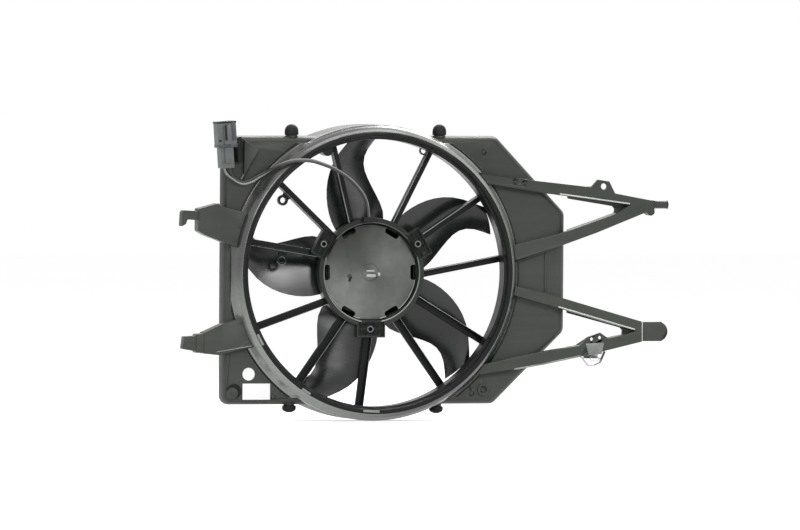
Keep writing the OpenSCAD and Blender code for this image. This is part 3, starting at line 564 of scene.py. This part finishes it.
# A pale ring at the plate's edge, painted brighter towards the bottom, is a painted highlight.
rim_highlight_zinc = finish_from(
    "rim_highlight_zinc", sheet, {"Colour": (0.20, 0.21, 0.20, 1), "Roughness": 0.35, "Rings": 0.2, "Stains": 0.4},
    0.00004, metal=0.4, painted_light={"Along Z": -16.0, "Most": 2.2},
)
highlight_ring("end_plate_rim_highlight", 0.0612, -0.0430, 0.0006, rim_highlight_zinc)
bpy.data.objects.remove(vents)
bpy.data.objects.remove(pockets)
# Bright steel pads on the bearing boss stand for its highlights, a painted highlight.
boss_highlight_steel = finish_from(
    "boss_highlight_steel", sheet, {"Colour": (0.30, 0.31, 0.30, 1), "Roughness": 0.25, "Rings": 0.3, "Stains": 0.6},
    0.00004, metal=1.0,
)
pads = [
    rounded_block((-0.0005, 0.0020, -0.0455), (0.0110, 0.0026, 0.0016), 0.0006),
    rounded_block((0.0003, -0.0044, -0.0453), (0.0130, 0.0042, 0.0020), 0.0008),
    rounded_block((0.0116, -0.0024, -0.0436), (0.0038, 0.0046, 0.0020), 0.0008),
]
dress(joined("bearing_highlight_pads", pads), boss_highlight_steel)
# A dark mark on the plate and dark floors in the screw pockets are painted shade.
punch_mark_shade = rounded_block((-0.0272, -0.0085, -0.0433), (0.0030, 0.0068, 0.0010), 0.0004, math.radians(-24))
pocket_shade_floors = [
    rounded_block(at_turn(screw_circle_r, turn, -0.0413), (0.0130, 0.0260, 0.0008), 0.0002, turn, 1)
    for turn in screw_turns
]
dress(joined("painted_shade_hollows", [punch_mark_shade] + pocket_shade_floors), smooth_black_and_shade)

# Fasteners and shaft. Three screws of dull steel with a six-sided socket hold the motor, and a
# bright steel nut holds the hub on the ground shaft.
bright_steel = finish_from(
    "bright_steel", sheet, {"Colour": (0.62, 0.62, 0.60, 1), "Roughness": 0.2, "Rings": 0.1, "Stains": 0.25},
    0.00003, metal=1.0,
)
bpy.ops.object.select_all(action="DESELECT")
sockets = []
for turn in screw_turns:
    x, z, y = at_turn(screw_circle_r, turn, -0.0456)
    bpy.ops.mesh.primitive_cylinder_add(
        vertices=6, radius=0.0028, depth=0.004, rotation=(math.pi / 2, 0, 0), location=(x, y, z),
    )
    sockets.append(bpy.context.object)
for socket in sockets:
    socket.select_set(True)
bpy.ops.object.join()
socket = bpy.context.object
# The screws' sockets are painted dark below the face of the heads, a painted shade.
screw_steel = finish_from(
    "screw_steel", sheet,
    {"Colour": (0.11, 0.115, 0.11, 1), "Roughness": 0.3, "Rings": 0.1, "Stains": 0.3, "Shade Depth": -0.0448},
    0.00003, metal=1.0,
)
soften("motor_screws", screw_steel, 0.0005, cut=socket)
bpy.data.objects.remove(socket)
soften("fan_nut", bright_steel, 0.0004, body="rotor")
soften("shaft", bright_steel, 0.0003, body="rotor")

# Buffers and pegs. Black rubber, two domes on top and two pegs below, that locate the shroud in
# the radiator's brackets. The grommet of the same rubber holds the lead at the carrier.
rubber = finish_from(
    "black_rubber", moulded,
    {"Colour": (0.010, 0.010, 0.010, 1), "Roughness": 0.55, "Flow": 0.4, "Grain": 1.5, "Dust": 0.12}, 0.0001,
    specular=0.15,
)
soften("top_buffers", rubber, 0.0006)
soften("bottom_pegs", rubber, 0.0006)
soften("lead_grommet", rubber, 0.0005)

# Spring clip. Bright spring steel: a plate on the front of the lower right arm, a leg behind it and,
# below, a bowed strip round a small wire loop.
clip_steel = finish_from(
    "clip_steel", sheet, {"Colour": (0.36, 0.37, 0.37, 1), "Roughness": 0.26, "Rings": 0.1, "Stains": 0.5},
    0.00003, metal=1.0,
)
dull_steel = finish_from(
    "dull_steel", sheet, {"Colour": (0.17, 0.175, 0.17, 1), "Roughness": 0.36, "Rings": 0.1, "Stains": 0.8},
    0.00003, metal=0.8,
)
clip_t = 0.0009
clip_x = 0.2985
plate_y = -0.0678
plate_z = -0.0990
plate = rounded_block((clip_x, plate_z, plate_y), (0.0250, 0.0150, clip_t), 0.0004, math.radians(3), 2)
# The plate's lower half is drawn in.
bpy.ops.object.mode_set(mode="EDIT")
bpy.ops.mesh.select_all(action="DESELECT")
bpy.ops.object.mode_set(mode="OBJECT")
for corner_point in plate.data.vertices:
    corner_point.select = corner_point.co.z < plate_z
bpy.ops.object.mode_set(mode="EDIT")
bpy.ops.transform.resize(value=(0.72, 1, 1), center_override=(clip_x, plate_y, plate_z))
bpy.ops.object.mode_set(mode="OBJECT")
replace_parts(dress(joined("spring_clip_plate", [plate]), dull_steel), "spring_clip")
clip = [rounded_block((0.3000, -0.1022, -0.0450), (0.0200, 0.0200, clip_t), 0.0004, 0.0, 2)]
clip += strip([(0.2890, -0.1115), (0.3110, -0.1115)], 0.0140, -0.0514, clip_t)
clip += strip(
    [(0.2800, -0.1085), (0.2905, -0.1212), (0.2990, -0.1205), (0.3068, -0.1170), (0.3130, -0.1030)],
    0.0090, -0.0632, clip_t,
)
loop_middle = (clip_x, -0.0660, -0.1120)
bpy.ops.mesh.primitive_torus_add(
    major_radius=0.0062, minor_radius=0.0006, major_segments=32, minor_segments=8,
    location=loop_middle, rotation=(math.pi / 2, 0, 0),
)
loop = bpy.context.object
bpy.ops.object.transform_apply(location=True, rotation=True, scale=True)
bpy.ops.object.mode_set(mode="EDIT")
bpy.ops.mesh.select_all(action="SELECT")
bpy.ops.transform.resize(value=(1, 1, 0.5), center_override=loop_middle)
bpy.ops.object.mode_set(mode="OBJECT")
dress(joined("spring_clip_bow", clip + [loop]), clip_steel)

# Connector. A grey two-way housing clipped to a bracket at the panel's corner, with the plug of
# the lead pushed in from below. Black bars round its mouth and down its front, its side and a band
# at its joint with the plug are painted shade. The bracket and two ribs of the panel beside it are
# drawn in the darker black as painted shade, and one rib has a pale edge, a painted highlight.
connector_grey = finish_from(
    "connector_grey", moulded,
    {"Colour": (0.085, 0.096, 0.094, 1), "Roughness": 0.40, "Flow": 0.5, "Grain": 0.6, "Dust": 0.3}, 0.00008,
    specular=0.3,
)
# The bracket is drawn in the darker black, a painted shade.
soften("connector_bracket", smooth_black_and_shade, 0.0005)
soften("connector_housing", connector_grey, 0.0007)
soften("connector_plug", connector_grey, 0.0006)
housing_x = -0.2060
housing_z = 0.1660
lean = math.radians(4)


def connector_block(u, v, y, sizes, radius):
    """A block placed by its distances along and up the leaning housing."""
    x = housing_x + u * math.cos(lean) - v * math.sin(lean)
    z = housing_z + u * math.sin(lean) + v * math.cos(lean)
    return rounded_block((x, z, y), sizes, radius, lean, 2)


# Black bars round the mouth and down the front are painted shade.
shade_bars = [
    connector_block(0.0020, 0.0286, -0.0792, (0.0258, 0.0022, 0.0022), 0.0003),
    connector_block(0.0020, 0.0286, -0.0608, (0.0258, 0.0022, 0.0022), 0.0003),
    connector_block(-0.0098, 0.0286, -0.0700, (0.0022, 0.0022, 0.0190), 0.0003),
    connector_block(0.0138, 0.0286, -0.0700, (0.0022, 0.0022, 0.0190), 0.0003),
    connector_block(-0.0007, 0.0150, -0.0832, (0.0026, 0.0190, 0.0009), 0.0003),
    connector_block(-0.0080, 0.0052, -0.0800, (0.0032, 0.0030, 0.0006), 0.0003),
]
dress(joined("connector_shade_bars", shade_bars), rubber)
blue_grey = finish_from(
    "connector_shade", moulded,
    {"Colour": (0.052, 0.055, 0.066, 1), "Roughness": 0.40, "Flow": 0.5, "Grain": 0.6, "Dust": 0.1}, 0.00006,
    specular=0.25,
)
# The side and the joint with the plug are painted shade.
shades = [
    connector_block(0.0102, 0.0165, -0.0800, (0.0056, 0.0232, 0.0007), 0.0002),
    connector_block(0.0020, -0.0016, -0.0700, (0.0256, 0.0040, 0.0206), 0.0003),
]
dress(joined("connector_side_shade", shades), blue_grey)
facet = connector_block(0.0034, 0.0150, -0.0812, (0.0052, 0.0220, 0.0044), 0.0006)
dress(joined("connector_latch_facet", [facet]), connector_grey)
rib_turn = math.radians(61.5)
# Two ribs in the darker black are painted shade.
ribs = [
    rounded_block((-0.1855, 0.1557, -0.0570), (0.0085, 0.0290, 0.0040), 0.0006, 0.0, 2),
    rounded_block((-0.1684, 0.1374, -0.0575), (0.0440, 0.0019, 0.0050), 0.0003, rib_turn, 2),
]
dress(joined("corner_ribs_shade", ribs), smooth_black_and_shade)
# A pale strip on one rib's edge is a painted highlight.
lit_rib = rounded_block((-0.1702, 0.1384, -0.0575), (0.0400, 0.0010, 0.0050), 0.0003, rib_turn, 2)
dress(joined("corner_rib_highlight", [lit_rib]), highlight_grey)

# Lead. Two insulated wires that leave the motor together, lie over the collar's lip and run
# along the panel to the plug. One is black, the other grey.
route = [
    (-6, 72, 54), (-7, 80, 55), (-10, 92, 57), (-16, 102, 60), (-25, 112, 64), (-36, 121, 69),
    (-49, 129, 75), (-63, 136, 80), (-77, 141, 81.6), (-91, 145, 82.6), (-104, 146, 82.6),
    (-117, 145, 81.2), (-130, 140.5, 74), (-142, 133.5, 66), (-154, 126, 60.4), (-165.5, 119.4, 59.8),
]
black_end = [
    (-176, 117.4, 60.2), (-185, 119.8, 61.4), (-192.4, 125, 64), (-196.4, 131, 67.4), (-197.6, 137, 70),
]
grey_end = [
    (-176, 114.8, 60.2), (-184.5, 117, 60.6), (-191.6, 121.2, 62), (-198, 125.4, 64), (-203, 130, 67),
    (-206, 136, 70),
]


def metres(points):
    """Places in metres from millimetres to the right, up and forward."""
    return [Vector((x, -u, y)) / 1000 for x, y, u in points]


def along(points, count):
    """Evenly spaced points on the smooth curve through the given ones."""
    ends = [2 * points[0] - points[1]] + points + [2 * points[-1] - points[-2]]
    out = []
    for i in range(1, len(ends) - 2):
        a, b, c, d = ends[i - 1:i + 3]
        for k in range(8):
            t = k / 8
            out.append(0.5 * (
                2 * b + (c - a) * t + (2 * a - 5 * b + 4 * c - d) * t * t + (3 * b - a - 3 * c + d) * t ** 3
            ))
    out.append(points[-1])
    steps = [0.0]
    for p, q in zip(out, out[1:]):
        steps.append(steps[-1] + (q - p).length)
    spaced = []
    j = 0
    for k in range(count):
        target = steps[-1] * k / (count - 1)
        while j < len(steps) - 2 and steps[j + 1] < target:
            j += 1
        share = (target - steps[j]) / (steps[j + 1] - steps[j])
        spaced.append(out[j].lerp(out[j + 1], min(1.0, share)))
    return spaced


def wire(name, points, radius, material):
    curve = bpy.data.curves.new(name, "CURVE")
    curve.dimensions = "3D"
    curve.bevel_depth = radius
    curve.bevel_resolution = 3
    curve.use_fill_caps = True
    line = curve.splines.new("POLY")
    line.points.add(len(points) - 1)
    for dot, p in zip(line.points, points):
        dot.co = (p.x, p.y, p.z, 1)
    piece = bpy.data.objects.new(name, curve)
    bpy.context.scene.collection.objects.link(piece)
    activate(piece)
    bpy.ops.object.convert(target="MESH")
    piece = bpy.context.object
    bpy.ops.object.shade_smooth_by_angle(angle=math.radians(60))
    piece.data.materials.append(material)
    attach(piece, "shroud")
    return piece


insulation = {"Roughness": 0.38, "Flow": 0.3, "Grain": 0.4, "Dust": 0.2}
wire_black = finish_from("wire_black", moulded, {"Colour": (0.016, 0.016, 0.017, 1), **insulation}, 0.00004)
wire_grey = finish_from("wire_grey", moulded, {"Colour": (0.20, 0.21, 0.20, 1), **insulation}, 0.00004)
# The wires lie a radius to each side of the route. Over the last stretches they turn about it.
wire_r = 0.0016
stretches = 24
steps_each = 4
turn_back = 2.2
turning_stretches = 6
last = stretches * steps_each
middle = along(metres(route), last + 1)
wires = []
for name, turn, material, end in (
    ("lead_wire_black", math.pi, wire_black, black_end), ("lead_wire_grey", 0.0, wire_grey, grey_end),
):
    points = []
    for k, p in enumerate(middle[::steps_each]):
        here = steps_each * k
        ahead = (middle[min(here + 1, last)] - middle[max(here - 1, 0)]).normalized()
        side = ahead.cross(Vector((0, 1, 0))).normalized()
        lift = side.cross(ahead)
        angle = turn + turn_back * min(1.0, (stretches - k) / turning_stretches)
        points.append(p + wire_r * (math.cos(angle) * side + math.sin(angle) * lift))
    wires.append(wire(name, along(points + metres(end), 140), wire_r, material))
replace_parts(wires[0], "lead")

# Labels and corner boss. A round label and an oblong one of white paper, both blank, are stuck on
# the panel at its lower left corner, beside a domed boss with a black disc behind it that shows to
# its upper right as a painted shadow.
paper, given, made = node_group(
    "paper", {"Colour": (0.85, 0.85, 0.86, 1), "Roughness": 0.7},
    {"Colour": "Color", "Roughness": "Float", "Height": "Float"},
)
fibres = noise(paper, (1, 1, 3), Scale=600, Detail=4)
soiled = noise(paper, (1, 1, 1), Scale=45, Detail=3)
fade = ramp(paper, soiled, 0.35, 0.75, to=(1.0, 0.9))
dull = calc(paper, "MULTIPLY_ADD", fibres, 0.1, given["Roughness"])
paper.links.new(shaded(paper, given["Colour"], fade), made.inputs["Colour"])
paper.links.new(dull, made.inputs["Roughness"])
paper.links.new(fibres, made.inputs["Height"])
label_paper = finish_from("label_paper", paper, {"Colour": (0.85, 0.85, 0.86, 1), "Roughness": 0.65}, 0.00002)


def rounded_disc(x, z, y, radius, height, edge):
    """A disc that faces forward, with its rims rounded off."""
    bpy.ops.object.select_all(action="DESELECT")
    bpy.ops.mesh.primitive_cylinder_add(
        vertices=48, radius=radius, depth=height, location=(x, y, z), rotation=(math.pi / 2, 0, 0),
    )
    disc = bpy.context.object
    bpy.ops.object.transform_apply(location=True, rotation=True, scale=True)
    activate(disc)
    rim = disc.modifiers.new("rim", "BEVEL")
    rim.width = edge
    rim.segments = 4
    rim.limit_method = "ANGLE"
    bpy.ops.object.modifier_apply(modifier=rim.name)
    return disc


label_y = -0.05615
label_t = 0.0003
round_label = rounded_disc(-0.1673, -0.1310, label_y, 0.0082, label_t, 0.0001)
dress(joined("round_label", [round_label]), label_paper)
# A black disc behind the dome, showing to its upper right, is a painted shadow.
boss_shadow = rounded_disc(-0.1868, -0.1528, -0.0573, 0.0094, 0.0030, 0.0004)
dress(joined("corner_boss_shadow", [boss_shadow]), smooth_black_and_shade)
dome = [
    rounded_disc(-0.1896, -0.1556, -0.0574, 0.0076, 0.0036, 0.0012),
    rounded_disc(-0.1890, -0.1556, -0.0594, 0.0026, 0.0012, 0.0005),
]
dress(joined("corner_boss_dome", dome), shroud_black)
oblong = rounded_block((-0.1568, -0.1536, label_y), (0.0370, 0.0208, label_t), 0.0001, steps=1)
dress(joined("oblong_label", [oblong]), label_paper)

# Inside the motor. Ferrite magnets, bronze bushes, a phenolic brush plate with carbon brushes, a
# laminated armature with enamelled windings, and a copper commutator.
for node, label, colour, roughness, metal in (
    ("magnets", "ferrite", (0.05, 0.05, 0.055, 1), 0.6, 0.0),
    ("front_bush", "sintered_bronze", (0.42, 0.27, 0.11, 1), 0.4, 1.0),
    ("rear_bush", "sintered_bronze_rear", (0.42, 0.27, 0.11, 1), 0.4, 1.0),
    ("brush_plate", "phenolic_board", (0.22, 0.13, 0.06, 1), 0.5, 0.0),
    ("brushes", "carbon", (0.02, 0.02, 0.02, 1), 0.5, 0.0),
    ("brush_springs", "spring_wire", (0.5, 0.5, 0.5, 1), 0.3, 1.0),
    ("armature_core", "laminated_steel", (0.2, 0.2, 0.2, 1), 0.4, 0.8),
    ("armature_windings", "enamelled_copper", (0.45, 0.16, 0.06, 1), 0.3, 0.8),
    ("commutator", "commutator_copper", (0.55, 0.25, 0.11, 1), 0.3, 1.0),
):
    values = {"Colour": colour, "Roughness": roughness, "Rings": 0.4, "Stains": 0.3}
    inner = finish_from(label, sheet, values, 0.00005, metal=metal)
    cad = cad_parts[node]
    cad.data.materials.clear()
    cad.data.materials.append(inner)
